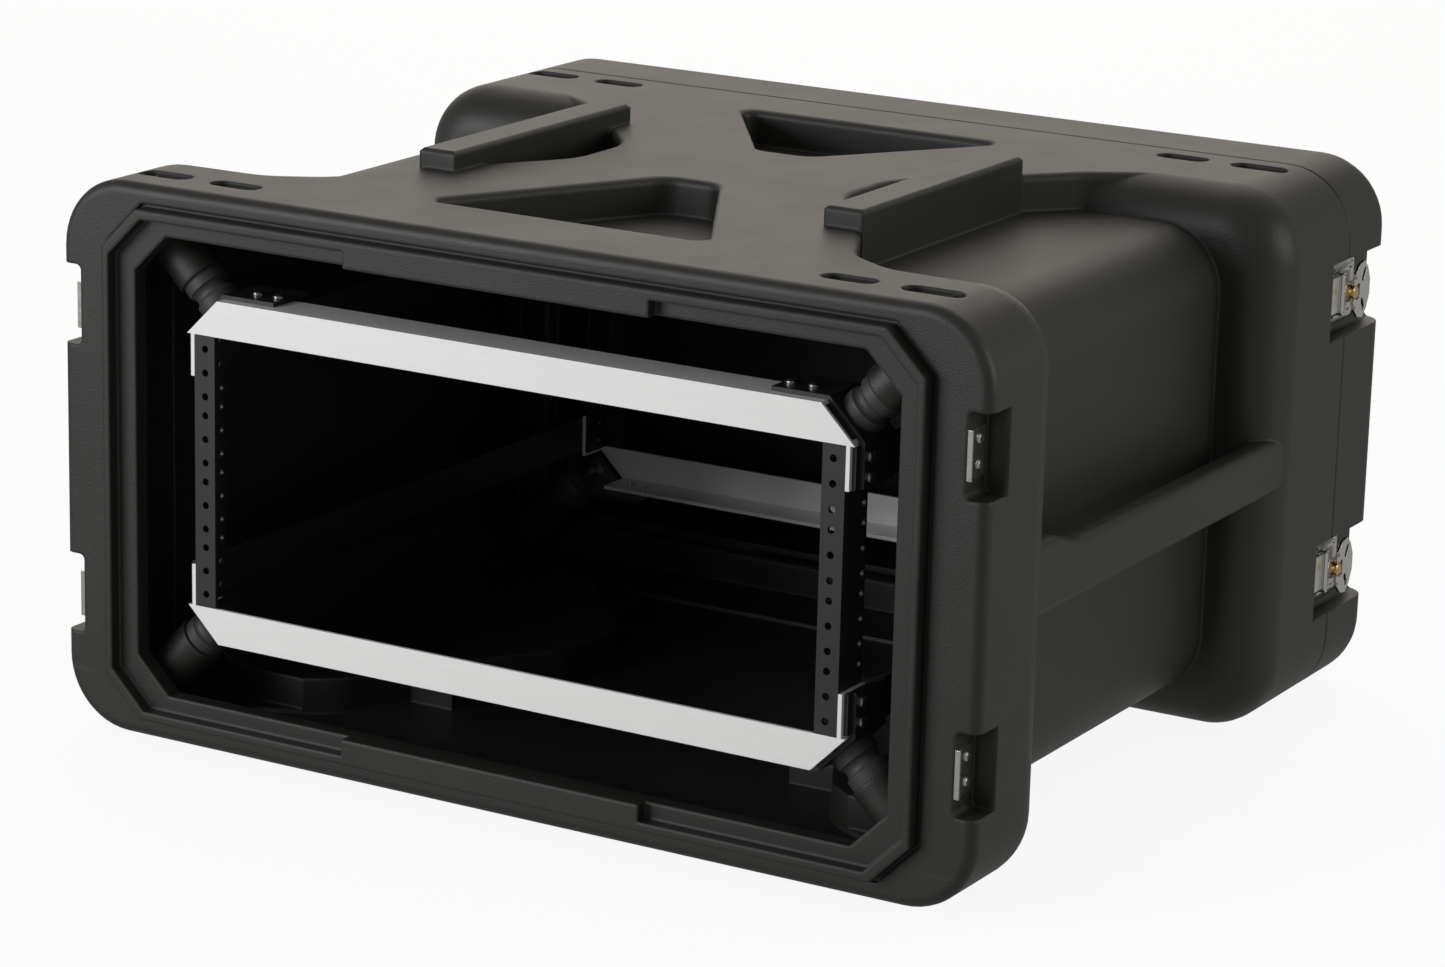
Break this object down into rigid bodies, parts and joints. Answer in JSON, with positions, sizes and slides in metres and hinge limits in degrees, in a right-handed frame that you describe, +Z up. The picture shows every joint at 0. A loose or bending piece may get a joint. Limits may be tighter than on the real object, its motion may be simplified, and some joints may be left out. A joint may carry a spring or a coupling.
{
  "type": "equipment rack case",
  "caption": "Moulded shock-mount rack case with an open front, a latched rear lid and a suspended 19 inch rail frame.",
  "frame": {"origin": "middle of the bounding box on the plane that the feet stand on", "axes": "+Z up, -Y out of the open front, +X to the right seen from the front"},
  "size_m": [0.683, 0.604, 0.391],
  "materials": {
    "shell_plastic": "moulded fine grain",
    "lid_plastic": "moulded fine grain",
    "gasket_rubber": "foam rubber",
    "rivet_metal": "plated",
    "keeper_metal": "plated",
    "hub_brass": "turned",
    "latch_chrome": "plated",
    "member_aluminium": "satin",
    "rail_paint": "powder coat",
    "brace_paint": "powder coat",
    "mount_rubber": "moulded",
    "bracket_paint": "powder coat",
    "bolt_steel": "zinc",
    "screw_steel": "black zinc"
  },
  "bodies": {
    "case": {"cross_member_front_lower": "member_aluminium", "cross_member_front_upper": "member_aluminium", "cross_member_rear_lower": "member_aluminium", "cross_member_rear_upper": "member_aluminium", "frame_screws": "screw_steel", "keeper_front_left_lower": "keeper_metal", "keeper_front_left_upper": "keeper_metal", "keeper_front_right_lower": "keeper_metal", "keeper_front_right_upper": "keeper_metal", "keeper_rear_left_lower": "keeper_metal", "keeper_rear_left_upper": "keeper_metal", "keeper_rear_right_lower": "keeper_metal", "keeper_rear_right_upper": "keeper_metal", "keeper_rivets": "rivet_metal", "mount_bolts": "bolt_steel", "mount_brackets": "bracket_paint", "rack_rail_front_left": "rail_paint", "rack_rail_front_right": "rail_paint", "rack_rail_rear_left": "rail_paint", "rack_rail_rear_right": "rail_paint", "shell": "shell_plastic", "shock_mount_front_left_lower": "mount_rubber", "shock_mount_front_left_upper": "mount_rubber", "shock_mount_front_right_lower": "mount_rubber", "shock_mount_front_right_upper": "mount_rubber", "shock_mount_rear_left_lower": "mount_rubber", "shock_mount_rear_left_upper": "mount_rubber", "shock_mount_rear_right_lower": "mount_rubber", "shock_mount_rear_right_upper": "mount_rubber", "side_brace_left_lower": "brace_paint", "side_brace_left_upper": "brace_paint", "side_brace_right_lower": "brace_paint", "side_brace_right_upper": "brace_paint"},
    "rear_lid": {"rear_lid": "lid_plastic", "rear_lid_gasket": "gasket_rubber", "latch_rivets": "rivet_metal", "latch_base_left_lower": "latch_chrome", "latch_base_left_upper": "latch_chrome", "latch_base_right_lower": "latch_chrome", "latch_base_right_upper": "latch_chrome"},
    "latch_hub_right_upper": {"latch_hub_right_upper": "hub_brass"},
    "latch_wing_right_upper": {"latch_wing_right_upper": "latch_chrome"},
    "latch_link_right_upper": {"latch_link_right_upper": "latch_chrome"},
    "latch_claw_right_upper": {"latch_claw_right_upper": "latch_chrome"},
    "latch_hub_right_lower": {"latch_hub_right_lower": "hub_brass"},
    "latch_wing_right_lower": {"latch_wing_right_lower": "latch_chrome"},
    "latch_link_right_lower": {"latch_link_right_lower": "latch_chrome"},
    "latch_claw_right_lower": {"latch_claw_right_lower": "latch_chrome"},
    "latch_hub_left_upper": {"latch_hub_left_upper": "hub_brass"},
    "latch_wing_left_upper": {"latch_wing_left_upper": "latch_chrome"},
    "latch_link_left_upper": {"latch_link_left_upper": "latch_chrome"},
    "latch_claw_left_upper": {"latch_claw_left_upper": "latch_chrome"},
    "latch_hub_left_lower": {"latch_hub_left_lower": "hub_brass"},
    "latch_wing_left_lower": {"latch_wing_left_lower": "latch_chrome"},
    "latch_link_left_lower": {"latch_link_left_lower": "latch_chrome"},
    "latch_claw_left_lower": {"latch_claw_left_lower": "latch_chrome"}
  },
  "joints": [
    {"name": "rear_lid_pull", "type": "slide", "parent": "case", "child": "rear_lid", "axis": [0, 1, 0], "range_m": [0, 0.014]},
    {"name": "latch_turn_right_upper", "type": "hinge", "parent": "rear_lid", "child": "latch_hub_right_upper", "pos_m": [0.33, 0.252, 0.2915], "axis": [1, 0, 0], "range_deg": [0, 180]},
    {"name": "latch_fold_right_upper", "type": "hinge", "parent": "latch_hub_right_upper", "child": "latch_wing_right_upper", "pos_m": [0.3386, 0.252, 0.2915], "axis": [0, 0, -1], "range_deg": [0, 90]},
    {"name": "latch_draw_right_upper", "type": "slide", "parent": "rear_lid", "child": "latch_link_right_upper", "axis": [0, -1, 0], "range_m": [0, 0.005]},
    {"name": "latch_claw_swing_right_upper", "type": "hinge", "parent": "latch_link_right_upper", "child": "latch_claw_right_upper", "pos_m": [0.3337, 0.242, 0.2915], "axis": [0, 0, 1], "range_deg": [0, 84]},
    {"name": "latch_turn_right_lower", "type": "hinge", "parent": "rear_lid", "child": "latch_hub_right_lower", "pos_m": [0.33, 0.252, 0.095], "axis": [1, 0, 0], "range_deg": [0, 180]},
    {"name": "latch_fold_right_lower", "type": "hinge", "parent": "latch_hub_right_lower", "child": "latch_wing_right_lower", "pos_m": [0.3386, 0.252, 0.095], "axis": [0, 0, -1], "range_deg": [0, 90]},
    {"name": "latch_draw_right_lower", "type": "slide", "parent": "rear_lid", "child": "latch_link_right_lower", "axis": [0, -1, 0], "range_m": [0, 0.005]},
    {"name": "latch_claw_swing_right_lower", "type": "hinge", "parent": "latch_link_right_lower", "child": "latch_claw_right_lower", "pos_m": [0.3337, 0.242, 0.095], "axis": [0, 0, 1], "range_deg": [0, 84]},
    {"name": "latch_turn_left_upper", "type": "hinge", "parent": "rear_lid", "child": "latch_hub_left_upper", "pos_m": [-0.33, 0.252, 0.2915], "axis": [-1, 0, 0], "range_deg": [0, 180]},
    {"name": "latch_fold_left_upper", "type": "hinge", "parent": "latch_hub_left_upper", "child": "latch_wing_left_upper", "pos_m": [-0.3386, 0.252, 0.2915], "axis": [0, 0, 1], "range_deg": [0, 90]},
    {"name": "latch_draw_left_upper", "type": "slide", "parent": "rear_lid", "child": "latch_link_left_upper", "axis": [0, -1, 0], "range_m": [0, 0.005]},
    {"name": "latch_claw_swing_left_upper", "type": "hinge", "parent": "latch_link_left_upper", "child": "latch_claw_left_upper", "pos_m": [-0.3337, 0.242, 0.2915], "axis": [0, 0, -1], "range_deg": [0, 84]},
    {"name": "latch_turn_left_lower", "type": "hinge", "parent": "rear_lid", "child": "latch_hub_left_lower", "pos_m": [-0.33, 0.252, 0.095], "axis": [-1, 0, 0], "range_deg": [0, 180]},
    {"name": "latch_fold_left_lower", "type": "hinge", "parent": "latch_hub_left_lower", "child": "latch_wing_left_lower", "pos_m": [-0.3386, 0.252, 0.095], "axis": [0, 0, 1], "range_deg": [0, 90]},
    {"name": "latch_draw_left_lower", "type": "slide", "parent": "rear_lid", "child": "latch_link_left_lower", "axis": [0, -1, 0], "range_m": [0, 0.005]},
    {"name": "latch_claw_swing_left_lower", "type": "hinge", "parent": "latch_link_left_lower", "child": "latch_claw_left_lower", "pos_m": [-0.3337, 0.242, 0.095], "axis": [0, 0, -1], "range_deg": [0, 84]}
  ],
  "couplings": [
    {"joint": "latch_draw_right_upper", "follows": "latch_turn_right_upper", "m_per_rad": 0.00159},
    {"joint": "latch_claw_swing_right_upper", "follows": "rear_lid_pull", "rad_per_m": 104.7},
    {"joint": "latch_draw_right_lower", "follows": "latch_turn_right_lower", "m_per_rad": 0.00159},
    {"joint": "latch_claw_swing_right_lower", "follows": "rear_lid_pull", "rad_per_m": 104.7},
    {"joint": "latch_draw_left_upper", "follows": "latch_turn_left_upper", "m_per_rad": 0.00159},
    {"joint": "latch_claw_swing_left_upper", "follows": "rear_lid_pull", "rad_per_m": 104.7},
    {"joint": "latch_draw_left_lower", "follows": "latch_turn_left_lower", "m_per_rad": 0.00159},
    {"joint": "latch_claw_swing_left_lower", "follows": "rear_lid_pull", "rad_per_m": 104.7}
  ]
}
